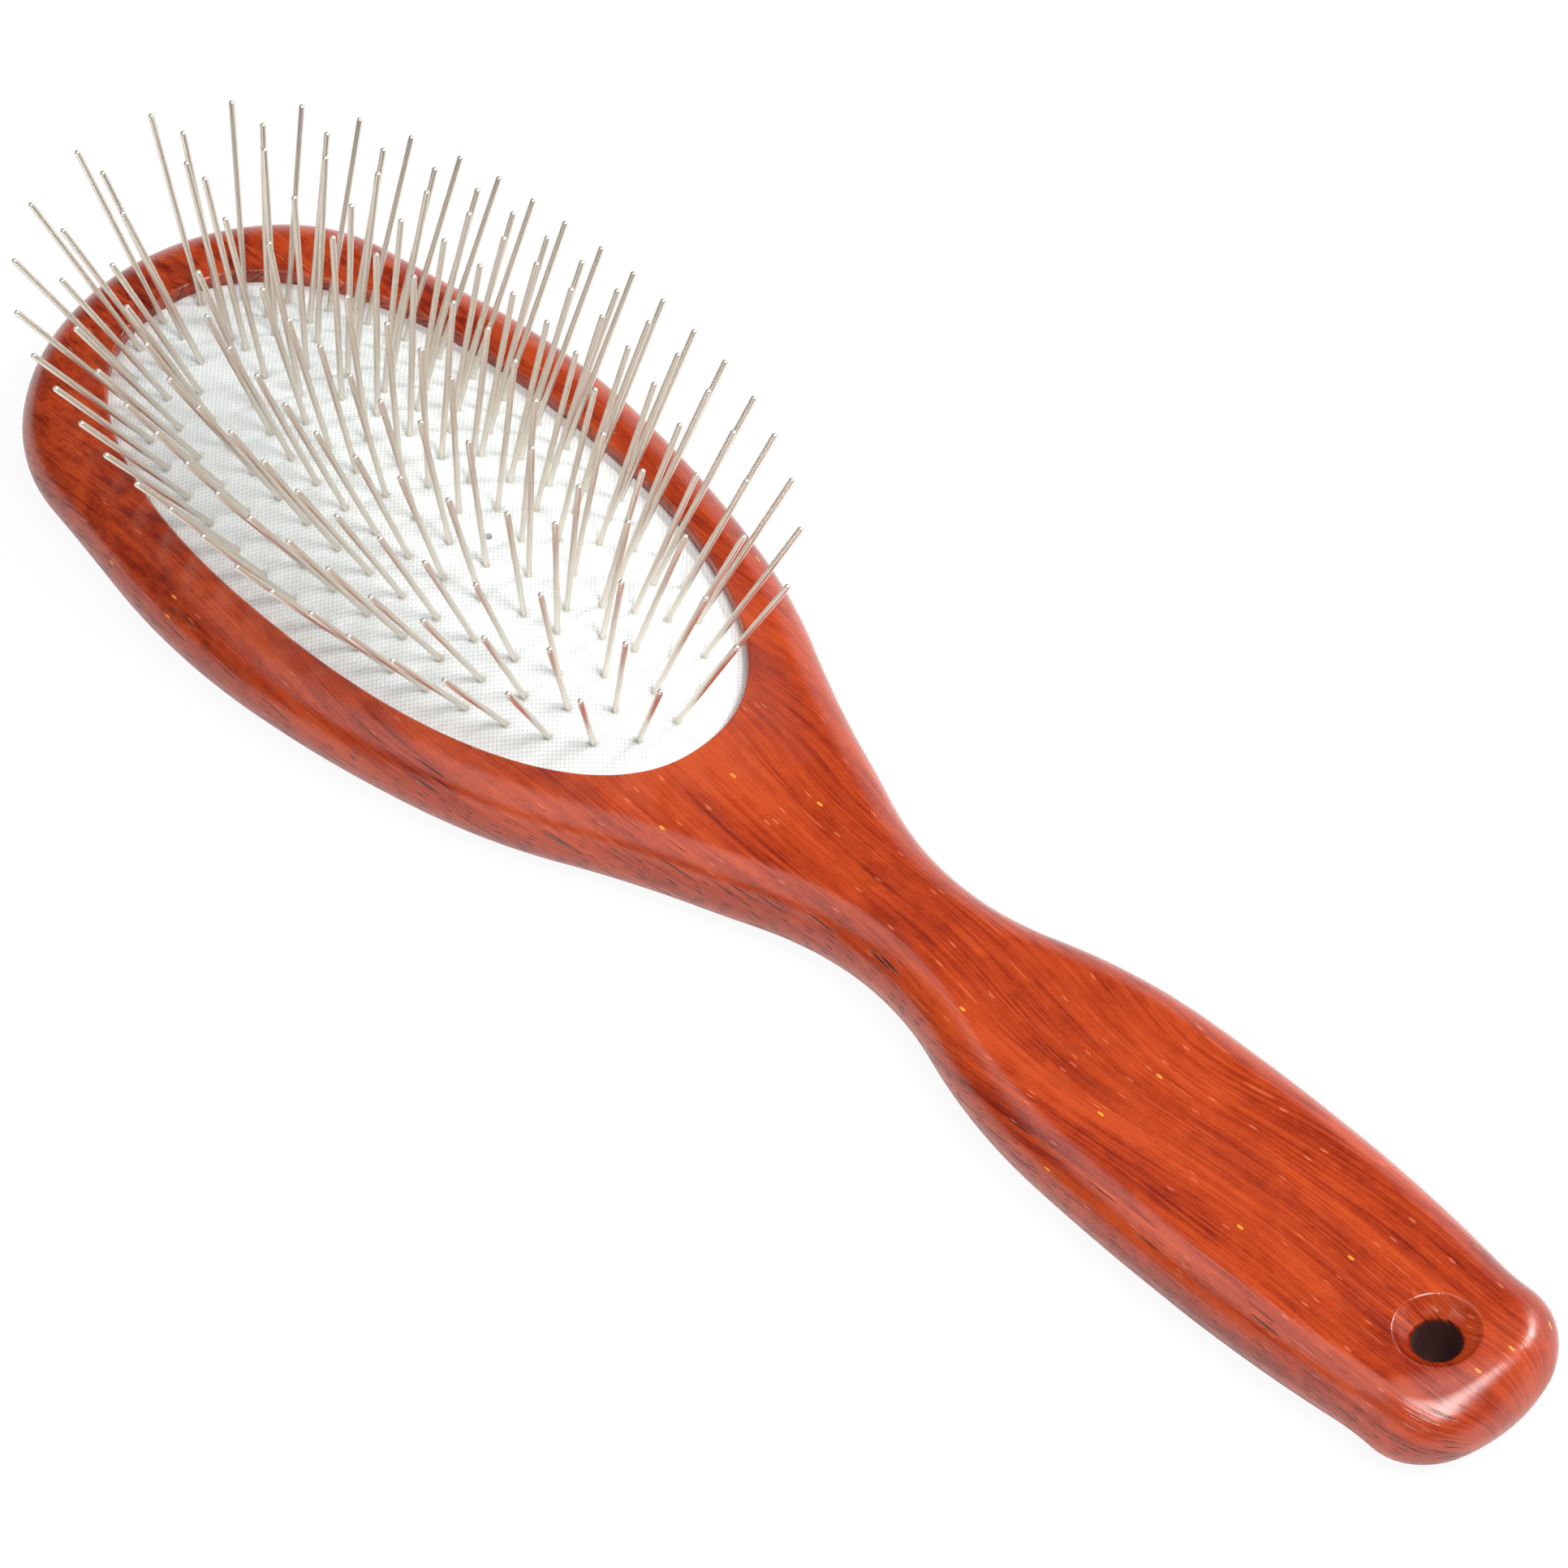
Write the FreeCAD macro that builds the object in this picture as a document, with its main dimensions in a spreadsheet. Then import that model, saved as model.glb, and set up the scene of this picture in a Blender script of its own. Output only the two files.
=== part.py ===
import FreeCAD
import Part
import math
import os

from FreeCAD import Placement, Rotation, Vector

# A wooden pin brush in millimetres. +X runs from the head along the handle, +Y across, +Z up
# through the cushion. The origin is on the flat back, under the centre of the head's opening.

# Driving sizes: alias in the sheet, value, what it is. A share has no unit
SIZES = (
    # opening for the cushion
    ("opening_length", 98.0, "opening in the top face, along the brush"),
    ("opening_width", 48.2, "opening in the top face, across"),
    ("opening_taper_share", -0.025, "how much narrower it is towards the handle"),
    ("opening_edge", 0.5, "rounding of the opening's rim"),
    ("recess_depth", 6.2, "top face to the floor of the recess"),
    ("groove_reach", 1.7, "undercut beyond the opening's wall"),
    # wooden body
    ("end_wall", 9.3, "opening to the end of the head"),
    ("side_wall", 8.1, "opening to the side of the head at its widest"),
    ("handle_length", 132.7, "opening to the end of the handle"),
    ("grip_width", 30.8, "handle at its widest"),
    ("body_thickness", 10.0, "back to top face"),
    ("side_flat", 0.4, "straight part of the side between its two roundings"),
    ("front_rounding_share", 0.49, "front one's part of the two roundings"),
    # hanging hole
    ("hanging_inset", 12.3, "end of the handle to the hanging hole"),
    ("hanging_bore", 6.0, "bore diameter"),
    ("hanging_mouth", 2.1, "mouth beyond the bore, all round"),
    ("hanging_sink", 2.0, "depth of the mouth"),
    # cushion
    ("rim_drop", 2.0, "top face down to the cushion's rim"),
    ("dome_rise", 9.0, "rim to the top of the dome"),
    ("dome_power", 1.29, "how round the dome is: higher is more peaked"),
    ("rubber_thickness", 1.8, "cloth-faced rubber sheet"),
    ("lip_clearance", 0.1, "room above the rim in the undercut"),
    ("lip_end_clearance", 0.3, "rim to the end of the undercut"),
    ("edge_clearance", 0.3, "dome to the opening's wall"),
    ("vent_share", 0.237, "air hole's place along the opening's half length"),
    ("vent_bore", 1.0, "air hole diameter"),
    # pins
    ("wire_diameter", 0.78, "pin wire"),
    ("pin_standing", 25.1, "pin above the cushion"),
    ("pin_tip_length", 0.35, "length of the rounded tip"),
    ("pin_tip_share", 0.40, "what is left of the diameter at its end"),
    ("pin_head_diameter", 1.9, "upset head under the rubber"),
    ("pin_head_length", 0.9, "height of that head"),
    ("pin_head_clearance", 0.2, "head to the rubber over it"),
    ("pin_clearance", 0.04, "pin to the rubber round it"),
    # rings of pins: count, shares of the opening's half length and half width, and a turn
    # in shares of a pin's spacing
    ("rings_share", -0.035, "middle of the rings along the opening's half length"),
    ("first_ring_pins", 16, "innermost ring"),
    ("first_ring_long_share", 0.416, ""),
    ("first_ring_wide_share", 0.183, ""),
    ("first_ring_turn_share", 0.0, ""),
    ("second_ring_pins", 22, ""),
    ("second_ring_long_share", 0.545, ""),
    ("second_ring_wide_share", 0.359, ""),
    ("second_ring_turn_share", 0.05, ""),
    ("third_ring_pins", 30, ""),
    ("third_ring_long_share", 0.743, ""),
    ("third_ring_wide_share", 0.527, ""),
    ("third_ring_turn_share", 0.58, ""),
    ("fourth_ring_pins", 34, ""),
    ("fourth_ring_long_share", 0.841, ""),
    ("fourth_ring_wide_share", 0.680, ""),
    ("fourth_ring_turn_share", 0.2, ""),
    ("outer_ring_pins", 40, ""),
    ("outer_ring_long_share", 0.931, ""),
    ("outer_ring_wide_share", 0.830, ""),
    ("outer_ring_turn_share", 0.08, ""),
    # how the pins lean: sideways run for each unit of height, at the end and the side of the dome
    ("lean_drift", -0.025, "all pins, towards the head"),
    ("lean_long", 0.188, "along the brush, even part"),
    ("lean_long_rim", 0.466, "along the brush, extra part near the ends"),
    ("lean_long_side", -0.077, "along the brush, less near the sides"),
    ("lean_side", 0.870, "across, even part"),
    ("lean_side_rim", -0.244, "across, less near the rim"),
    ("lean_side_end", 0.346, "across, more near the ends"),
    ("lean_scatter", 0.015, "small unevenness from pin to pin"),
)

# The head's outline: shares of the opening's half length and of the head's half width
HEAD_STATIONS = {
    "crown": (-1.01, 0.68),
    "cheek": (-0.48, 0.95),
    "shoulder": (0.612, 0.851),
}
# The handle's outline: shares of its length and of the grip's half width
HANDLE_STATIONS = {
    "slope": (0.101, 0.924),
    "neck": (0.205, 0.608),
    "swell": (0.531, 0.976),
    "heel": (0.884, 0.899),
    "corner": (0.9616, 0.798),
}

RINGS = ("first_ring", "second_ring", "third_ring", "fourth_ring", "outer_ring")

# Pins of the centre row and those that fill the ends between rings: shares of the opening's
# half length and half width
CENTRE_ROW = ((0.131, 0.0), (0.022, 0.0), (-0.084, 0.0), (-0.2, 0.0))
END_FILL = ((0.62, 0.041), (0.541, -0.112), (0.555, 0.166), (-0.704, 0.083))

OPENING_SQUARENESS = 2.25
RING_SQUARENESS = 2.1
OPENING_STATIONS = 8
DOME_SIDES = 28
RING_STEPS = 720
WIRE_SIDES = 5
HOLE_SIDES = 4
# Three flats round an edge: what the middle one, then the side ones, take off it, in shares
# of the radius of the quarter circle that they touch
MIDDLE_FLAT = 1 - math.tan(math.radians(22.5))
SIDE_FLATS = math.tan(math.radians(22.5)) - math.tan(math.radians(11.25))
# Angle to each side of a point of the oval that gives its heading
HEADING_STEP = 1e-3
# An edge this near a height lies at it
HEIGHT_TOLERANCE = 1e-3
# Below these an arc is as good as straight, or its two headings the same
LEAST_BULGE = 1e-9
LEAST_TURN = 1e-12
# Passes that settle the taper when a place is measured on the opening's oval
TAPER_PASSES = 3
# Turns, in radians from one pin to the next, that spread the unevenness
SCATTER_ALONG = 7.0
SCATTER_ACROSS = 11.0
# The dome's levels stand at even angles, from its rim (90) to a small flat at its top
DOME_ANGLES = (90, 73, 55, 35, 13)

# A wire of flat sides with the same section area as the round one
EVEN_AREA = math.sqrt(2 * math.pi / (WIRE_SIDES * math.sin(2 * math.pi / WIRE_SIDES)))

doc = FreeCAD.newDocument("pin_brush")


def make_sheet():
    sheet = doc.addObject("Spreadsheet::Sheet", "Sizes")
    for row, (alias, value, note) in enumerate(SIZES, start=1):
        sheet.set(f"A{row}", alias)
        sheet.set(f"B{row}", str(value))
        sheet.set(f"C{row}", note)
        sheet.setAlias(f"B{row}", alias)
    doc.recompute()
    return sheet


sheet = make_sheet()


def size(alias):
    return float(sheet.get(alias))


def half_opening():
    """Half the opening's length and half its width."""
    return size("opening_length") / 2, size("opening_width") / 2


def signed_power(value, power):
    return math.copysign(abs(value) ** power, value)


def oval_point(half_length, half_width, squareness, taper, angle):
    """One point of a squared ellipse whose width changes a little along it."""
    along = math.cos(angle)
    across = math.sin(angle)
    return Vector(
        half_length * signed_power(along, 2 / squareness),
        half_width * signed_power(across, 2 / squareness) * (1 + taper * along),
        0,
    )


def opening_point(beyond, angle):
    """A point of the opening's oval, grown all round by beyond."""
    half_length, half_width = half_opening()
    return oval_point(
        half_length + beyond,
        half_width + beyond,
        OPENING_SQUARENESS,
        size("opening_taper_share"),
        angle,
    )


def circle_heading(before, here, after):
    """Direction at the middle one of three points, along the circle through them."""
    first = here - before
    second = after - here
    heading = first / first.Length ** 2 + second / second.Length ** 2
    return heading / heading.Length


def arc_from(start, heading, end):
    """The arc that leaves start along heading and reaches end."""
    chord = end - start
    across = Vector(-heading.y, heading.x, 0)
    bulge = chord.dot(across)
    if abs(bulge) < LEAST_BULGE * chord.Length:
        return Part.LineSegment(start, end)
    centre = start + across * (chord.Length ** 2 / (2 * bulge))
    outward = (start + end) / 2 - centre
    radius = (start - centre).Length
    return Part.Arc(start, centre + outward * (radius / outward.Length), end)


def smooth_arcs(points, headings):
    """A closed chain of tangent arcs, two from each point and heading to the next."""
    count = len(points)
    arcs = []
    for i in range(count):
        start = points[i]
        end = points[(i + 1) % count]
        leaving = headings[i]
        arriving = headings[(i + 1) % count]
        chord = end - start
        both = leaving + arriving
        closing = 2 * (1 - leaving.dot(arriving))
        lean = chord.dot(both)
        if closing < LEAST_TURN:
            reach = chord.Length ** 2 / (2 * lean)
        else:
            reach = (math.sqrt(lean ** 2 + closing * chord.Length ** 2) - lean) / closing
        middle = (start + end + (leaving - arriving) * reach) / 2
        arcs.append(arc_from(start, leaving, middle))
        second = arc_from(end, arriving * -1, middle)
        second.reverse()
        arcs.append(second)
    return arcs


def closed_lines(points):
    return [
        Part.LineSegment(start, end) for start, end in zip(points, points[1:] + points[:1])
    ]


def opening_arcs(beyond):
    """The opening's oval, grown all round by beyond, as a chain of arcs."""
    angles = [2 * math.pi * i / OPENING_STATIONS for i in range(OPENING_STATIONS)]
    headings = []
    for angle in angles:
        ahead = opening_point(beyond, angle + HEADING_STEP)
        heading = ahead - opening_point(beyond, angle - HEADING_STEP)
        headings.append(heading / heading.Length)
    return smooth_arcs([opening_point(beyond, angle) for angle in angles], headings)


def opening_polygon(beyond):
    """Corners evenly spaced along the opening's oval, grown all round by beyond."""
    wire = Part.Wire([arc.toShape() for arc in opening_arcs(beyond)])
    return wire.discretize(Number=DOME_SIDES + 1)[:-1]


def plane_of(body, role):
    return [p for p in body.Origin.OriginFeatures if p.Role == role][0]


def new_sketch(body, name, height=None):
    """A sketch on the body's base plane, lifted to a height given as an expression."""
    sketch = body.newObject("Sketcher::SketchObject", name)
    sketch.AttachmentSupport = (plane_of(body, "XY_Plane"), [""])
    sketch.MapMode = "FlatFace"
    if height is not None:
        sketch.setExpression("AttachmentOffset.Base.z", height)
    return sketch


def oval_sketch(body, name, beyond=0.0, height=None):
    """The opening's oval, grown all round by beyond."""
    sketch = new_sketch(body, name, height)
    sketch.addGeometry(opening_arcs(beyond))
    return sketch


def edges_at(shape, *heights):
    """Names of the edges that lie flat at any of the heights."""
    names = []
    for i, edge in enumerate(shape.Edges, start=1):
        box = edge.BoundBox
        for height in heights:
            if max(abs(box.ZMin - height), abs(box.ZMax - height)) < HEIGHT_TOLERANCE:
                names.append(f"Edge{i}")
    return names


def chamfer(body, base, name, edges, length):
    feature = body.newObject("PartDesign::Chamfer", name)
    feature.Base = (base, edges)
    feature.setExpression("Size", length)
    doc.recompute()
    return feature


def round_edge(body, base, name, share, height, inward):
    """Round the outer edge at a height in three flats that all touch one quarter circle."""
    radius = f"(Sizes.body_thickness - Sizes.side_flat) * ({share})"
    edges = edges_at(base.Shape, height)
    middle = chamfer(body, base, f"{name}Middle", edges, f"{radius} * {MIDDLE_FLAT:.6f}")
    edges = edges_at(middle.Shape, height, height + inward * middle.Size.Value)
    return chamfer(body, middle, f"{name}Sides", edges, f"{radius} * {SIDE_FLATS:.6f}")


def body_outline():
    """Closed chain of arcs through the head's end, the stations and the handle's end."""
    half_length, half_width = half_opening()
    head_half = half_width + size("side_wall")
    grip_half = size("grip_width") / 2
    stations = [
        (along * half_length, half * head_half) for along, half in HEAD_STATIONS.values()
    ]
    stations += [
        (half_length + along * size("handle_length"), half * grip_half)
        for along, half in HANDLE_STATIONS.values()
    ]
    points = [Vector(-half_length - size("end_wall"), 0, 0)]
    points += [Vector(along, half, 0) for along, half in stations]
    points.append(Vector(half_length + size("handle_length"), 0, 0))
    points += [Vector(along, -half, 0) for along, half in reversed(stations)]
    headings = [
        circle_heading(points[i - 1], points[i], points[(i + 1) % len(points)])
        for i in range(len(points))
    ]
    return smooth_arcs(points, headings)


def cut_pocket(body, sketch, depth, name):
    """A pocket straight down from its sketch."""
    before = body.Shape.Volume
    pocket = body.newObject("PartDesign::Pocket", name)
    pocket.Profile = sketch
    pocket.setExpression("Length", depth)
    pocket.Reversed = False
    doc.recompute()
    if body.Shape.Volume >= before:
        raise RuntimeError(f"{name} removed nothing")
    return pocket


def make_wooden_body():
    body = doc.addObject("PartDesign::Body", "wooden_body")
    body.Label = "wooden_body"

    outline = new_sketch(body, "Outline")
    outline.addGeometry(body_outline())
    slab = body.newObject("PartDesign::Pad", "Slab")
    slab.Profile = outline
    slab.setExpression("Length", "Sizes.body_thickness")
    doc.recompute()

    top = size("body_thickness")
    front = "Sizes.front_rounding_share"
    rounded = round_edge(body, slab, "FrontRounding", front, top, -1)
    round_edge(body, rounded, "BackRounding", f"1 - {front}", 0.0, 1)

    opening = oval_sketch(body, "Opening", height="Sizes.body_thickness")
    recess = cut_pocket(body, opening, "Sizes.recess_depth", "Recess")
    chamfer(body, recess, "OpeningEdge", opening_edges(recess.Shape), "Sizes.opening_edge")

    undercut = oval_sketch(
        body,
        "Undercut",
        beyond=size("groove_reach"),
        height="Sizes.body_thickness - Sizes.rim_drop + Sizes.lip_clearance",
    )
    cut_pocket(body, undercut, "Sizes.rubber_thickness + Sizes.lip_clearance", "Groove")
    cut_hanging_hole(body)
    return body


def opening_edges(shape):
    """The opening's own edge in the top face, not the body's outer one."""
    reach = half_opening()[0] + size("opening_edge")
    names = []
    for name in edges_at(shape, size("body_thickness")):
        box = shape.getElement(name).BoundBox
        if box.XMin > -reach and box.XMax < reach:
            names.append(name)
    return names


def cut_hanging_hole(body):
    """Bore with a countersunk mouth in the top face, turned about its own axis."""
    bore = size("hanging_bore") / 2
    mouth = bore + size("hanging_mouth")
    top = size("body_thickness")
    profile = [
        Vector(0, 0, 0),
        Vector(bore, 0, 0),
        Vector(bore, top - size("hanging_sink"), 0),
        Vector(mouth, top, 0),
        Vector(0, top, 0),
    ]
    sketch = body.newObject("Sketcher::SketchObject", "HangingProfile")
    sketch.AttachmentSupport = (plane_of(body, "XZ_Plane"), [""])
    sketch.MapMode = "FlatFace"
    sketch.setExpression(
        "AttachmentOffset.Base.x",
        "Sizes.opening_length / 2 + Sizes.handle_length - Sizes.hanging_inset",
    )
    sketch.addGeometry(closed_lines(profile))
    before = body.Shape.Volume
    hole = body.newObject("PartDesign::Groove", "HangingHole")
    hole.Profile = sketch
    hole.ReferenceAxis = (sketch, ["V_Axis"])
    hole.Angle = 360
    doc.recompute()
    if body.Shape.Volume >= before:
        raise RuntimeError("the hanging hole removed nothing")
    return hole


def dome_height(share):
    """Height of the dome over its rim at a share of the way from the middle to the rim."""
    return size("dome_rise") * max(1 - share ** 2, 0) ** size("dome_power")


def rim_height():
    return size("body_thickness") - size("rim_drop")


def facet_height(share):
    """Height of the dome's flat facets over its rim, which run straight between its levels."""
    shares = [math.sin(math.radians(angle)) for angle in DOME_ANGLES]
    for outer, inner in zip(shares, shares[1:]):
        if share >= inner:
            part = (outer - share) / (outer - inner)
            return dome_height(outer) * (1 - part) + dome_height(inner) * part
    return dome_height(shares[-1])


def faceted_solid(levels):
    """A solid with flat facets between similar polygons, one above the other."""
    facets = [Part.Face(Part.makePolygon(levels[0] + levels[0][:1]))]
    facets.append(Part.Face(Part.makePolygon(levels[-1] + levels[-1][:1])))
    for lower, upper in zip(levels, levels[1:]):
        for i in range(len(lower)):
            corners = [lower[i - 1], lower[i], upper[i], upper[i - 1], lower[i - 1]]
            facets.append(Part.Face(Part.makePolygon(corners)))
    return Part.makeSolid(Part.makeShell(facets))


def dome_solid(name, drop):
    """The dome's form down to its rim, lowered by drop."""
    outline = opening_polygon(-size("edge_clearance"))
    levels = []
    for angle in DOME_ANGLES:
        share = math.sin(math.radians(angle))
        height = Vector(0, 0, rim_height() + dome_height(share) - drop)
        levels.append([point * share + height for point in outline])
    dome = doc.addObject("Part::Feature", name)
    dome.Shape = faceted_solid(levels)
    return dome


def join(kind, name, base, tool):
    """A cut or a fuse of two objects."""
    joined = doc.addObject(kind, name)
    joined.Base = base
    joined.Tool = tool
    return joined


def make_cushion_sheet():
    """The cushion before its pins: a domed sheet with a flat lip all round."""
    body = doc.addObject("PartDesign::Body", "cushion_lip")
    under_lip = "Sizes.body_thickness - Sizes.rim_drop - Sizes.rubber_thickness"
    lip_reach = size("groove_reach") - size("lip_end_clearance")
    lip = new_sketch(body, "Lip", under_lip)
    lip.addGeometry(closed_lines(opening_polygon(lip_reach)))
    disc = body.newObject("PartDesign::Pad", "LipDisc")
    disc.Profile = lip
    disc.setExpression("Length", "Sizes.rubber_thickness")
    outside = dome_solid("dome_outside", 0)
    inside = dome_solid("dome_inside", size("rubber_thickness"))
    solid_dome = join("Part::Fuse", "solid_dome", body, outside)
    return join("Part::Cut", "domed_sheet", solid_dome, inside)


def share_at(along, across):
    """Share of the way from the middle of the dome to its rim at a place on the head."""
    half_length, half_width = (half - size("edge_clearance") for half in half_opening())
    squareness = OPENING_SQUARENESS
    narrowing = 1.0
    share = 0.0
    for _ in range(TAPER_PASSES):
        lengthwise = abs(along) / half_length
        crosswise = abs(across) / (half_width * narrowing)
        share = (lengthwise ** squareness + crosswise ** squareness) ** (1 / squareness)
        turn = signed_power(along / (half_length * max(share, 1e-9)), squareness / 2)
        narrowing = 1 + size("opening_taper_share") * turn
    return share


def lean_at(far, side, number):
    """Direction of a pin: steeper outwards towards the rim, with a little unevenness."""
    scatter = size("lean_scatter")
    lengthwise = (
        size("lean_drift")
        + size("lean_long") * far
        + size("lean_long_rim") * far ** 3
        + size("lean_long_side") * far * side ** 2
        + scatter * math.sin(SCATTER_ALONG * number)
    )
    crosswise = (
        size("lean_side") * side
        + size("lean_side_rim") * side ** 3
        + size("lean_side_end") * side * far ** 2
        + scatter * math.sin(SCATTER_ACROSS * number)
    )
    return Vector(lengthwise, crosswise, 1)


def pin_placement(far, side, number):
    """Where a pin leaves the cushion, turned to its lean."""
    half_length, half_width = half_opening()
    along = far * half_length
    across = side * half_width
    height = rim_height() + facet_height(share_at(along, across))
    upright = Vector(0, 0, 1)
    return Placement(Vector(along, across, height), Rotation(upright, lean_at(far, side, number)))


def ring_places(ring):
    """Places evenly spaced along an oval ring, as shares of the opening's half sizes."""
    half_length, half_width = half_opening()
    points = [
        oval_point(
            size(f"{ring}_long_share") * half_length,
            size(f"{ring}_wide_share") * half_width,
            RING_SQUARENESS,
            0,
            2 * math.pi * i / RING_STEPS,
        )
        for i in range(RING_STEPS + 1)
    ]
    lengths = [0.0]
    for start, end in zip(points, points[1:]):
        lengths.append(lengths[-1] + start.distanceToPoint(end))
    count = int(size(f"{ring}_pins"))
    places = []
    step = 0
    for i in range(count):
        target = lengths[-1] * (i + size(f"{ring}_turn_share")) / count
        while lengths[step + 1] < target:
            step += 1
        far = points[step].x / half_length + size("rings_share")
        places.append((far, points[step].y / half_width))
    return places


def make_pin():
    """One pin, standing on the cushion's surface at its own zero height."""
    under = -size("rubber_thickness") - size("pin_head_clearance")
    wire = size("wire_diameter") / 2
    sections = (
        (under - size("pin_head_length"), size("pin_head_diameter") / 2),
        (under, wire),
        (size("pin_standing") - size("pin_tip_length"), wire),
        (size("pin_standing"), wire * size("pin_tip_share")),
    )
    levels = []
    for height, radius in sections:
        corner = radius * EVEN_AREA
        levels.append(
            [
                Vector(
                    corner * math.cos(2 * math.pi * i / WIRE_SIDES),
                    corner * math.sin(2 * math.pi * i / WIRE_SIDES),
                    height,
                )
                for i in range(WIRE_SIDES)
            ]
        )
    return faceted_solid(levels)


def make_pin_hole():
    """What one pin takes out of the rubber, along the pin."""
    hole = doc.addObject("Part::Prism", "pin_hole")
    hole.Polygon = HOLE_SIDES
    inside = f"(Sizes.wire_diameter / 2 * {EVEN_AREA:.6f} + Sizes.pin_clearance)"
    hole.setExpression("Circumradius", f"{inside} / cos(180 deg / {HOLE_SIDES})")
    hole.setExpression("Height", "3 * Sizes.rubber_thickness")
    hole.setExpression("Placement.Base.z", "-2 * Sizes.rubber_thickness")
    return hole


def placed_copies(shape, placements):
    copies = []
    for placement in placements:
        copy = shape.copy()
        copy.Placement = placement.multiply(shape.Placement)
        copies.append(copy)
    return Part.Compound(copies)


def make_pins():
    """One node for each ring and row, each a group of separate pins."""
    pin = make_pin()
    rows = {f"pins_{ring}": ring_places(ring) for ring in RINGS}
    rows["pins_centre_row"] = CENTRE_ROW
    rows["pins_end_fill"] = END_FILL
    placements = []
    for node, places in rows.items():
        start = len(placements)
        for number, (far, side) in enumerate(places, start=start):
            placements.append(pin_placement(far, side, number))
        group = doc.addObject("Part::Feature", node)
        group.Label = node
        group.Shape = placed_copies(pin, placements[start:])
        group.Placement = Placement()
    return list(rows), placements


def make_cushion(sheet_body, placements):
    """The sheet with a hole for each pin and the air hole."""
    hole = make_pin_hole()
    doc.recompute()
    pin_holes = doc.addObject("Part::Feature", "pin_holes")
    pin_holes.Shape = placed_copies(hole.Shape, placements)
    vent = doc.addObject("Part::Cylinder", "air_hole")
    vent.setExpression("Radius", "Sizes.vent_bore / 2")
    vent.setExpression("Height", "Sizes.body_thickness + Sizes.dome_rise")
    vent.setExpression("Placement.Base.x", "Sizes.opening_length / 2 * Sizes.vent_share")
    vented = join("Part::Cut", "vented_sheet", sheet_body, vent)
    cushion = join("Part::Cut", "cushion", vented, pin_holes)
    cushion.Label = "cushion"


def check_document(nodes):
    for item in doc.Objects:
        if "Invalid" in item.State or "Error" in item.State:
            raise RuntimeError(f"{item.Name} failed")
    for node in nodes:
        shape = doc.getObject(node).Shape
        if shape.isNull() or not shape.isValid():
            raise RuntimeError(f"{node} has no valid shape")


def write_parts(nodes):
    os.makedirs("parts", exist_ok=True)
    for node in nodes:
        piece = doc.getObject(node)
        piece.Shape.exportStep(os.path.join("parts", f"{piece.Label}.step"))
        print(node, len(piece.Shape.Solids), "solids", round(piece.Shape.Volume, 1), "mm3")


make_wooden_body()
pin_nodes, pin_placements = make_pins()
make_cushion(make_cushion_sheet(), pin_placements)
doc.recompute()
NODES = ["wooden_body", "cushion"] + pin_nodes
check_document(NODES)
write_parts(NODES)
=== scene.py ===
import math

import bmesh
import bpy
import numpy
from bpy.props import FloatProperty, FloatVectorProperty, IntProperty, PointerProperty
from mathutils import Matrix, Vector
from mathutils.kdtree import KDTree


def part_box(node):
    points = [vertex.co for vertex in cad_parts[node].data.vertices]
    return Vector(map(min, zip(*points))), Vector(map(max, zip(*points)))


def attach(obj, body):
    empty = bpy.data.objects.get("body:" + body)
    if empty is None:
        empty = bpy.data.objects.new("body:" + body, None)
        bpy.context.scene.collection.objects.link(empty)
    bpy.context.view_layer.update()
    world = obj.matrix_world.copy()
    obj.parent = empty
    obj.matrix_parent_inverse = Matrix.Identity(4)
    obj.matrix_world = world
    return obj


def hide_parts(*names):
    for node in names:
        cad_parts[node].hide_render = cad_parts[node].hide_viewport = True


bl_info = {
    "name": "Pin brush",
    "version": (1, 0, 0),
    "blender": (4, 5, 0),
    "location": "View3D > Sidebar > Pin brush",
    "description": "Makes the wooden body, cushion and pins of a pin brush round its packed frame",
    "category": "Object",
}

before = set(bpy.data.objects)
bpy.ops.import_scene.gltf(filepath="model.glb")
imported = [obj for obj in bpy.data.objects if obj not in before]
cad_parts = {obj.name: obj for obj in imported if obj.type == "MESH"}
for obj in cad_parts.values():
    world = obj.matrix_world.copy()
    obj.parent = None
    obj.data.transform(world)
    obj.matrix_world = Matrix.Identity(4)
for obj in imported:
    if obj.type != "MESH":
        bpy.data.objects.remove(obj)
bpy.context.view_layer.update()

MM = 0.001
WOOD_LOW, WOOD_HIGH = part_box("wooden_body")
CUSHION_LOW, CUSHION_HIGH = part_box("cushion")
PIN_NODES = sorted(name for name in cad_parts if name.startswith("pins_"))

# How finely the pieces are divided
OUTLINE_POINTS = 420
STEPS_BETWEEN_CORNERS = 64
OPENING_POINTS = 200
HOLE_POINTS = 64
VENT_POINTS = 16
CLOTH_CELLS_ALONG = 250
CLOTH_CELLS_ACROSS = 126
FRONT_ROUNDING_STEPS = 10
BACK_ROUNDING_STEPS = 8
RIM_ROUNDING_STEPS = 4
TIP_ROUNDING_STEPS = 4
WOOD_SMOOTH_ANGLE = math.radians(35)
FINE_SMOOTH_ANGLE = math.radians(50)

# The opening is an ellipse, a little squared and a little narrower towards the handle
OPENING_SQUARENESS = 2.25
OPENING_TAPER = -0.025
# The mouth of the hanging hole in millimetres: radius beyond the bore, and depth, down to the bore
HOLE_MOUTH = (
    (2.4, 0.0),
    (2.24, 0.03),
    (2.1, 0.12),
    (1.95, 0.28),
    (1.65, 0.62),
    (1.2, 1.02),
    (0.75, 1.38),
    (0.35, 1.7),
    (0.1, 1.95),
    (0.0, 2.3),
)
# How far a cutter stands past the faces that it cuts
TOOL_MARGIN = 0.6 * MM
# Places closer than the first count as one level, and corners closer than the second as one corner
TINY = 0.01 * MM
WELD = 0.001 * MM
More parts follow.
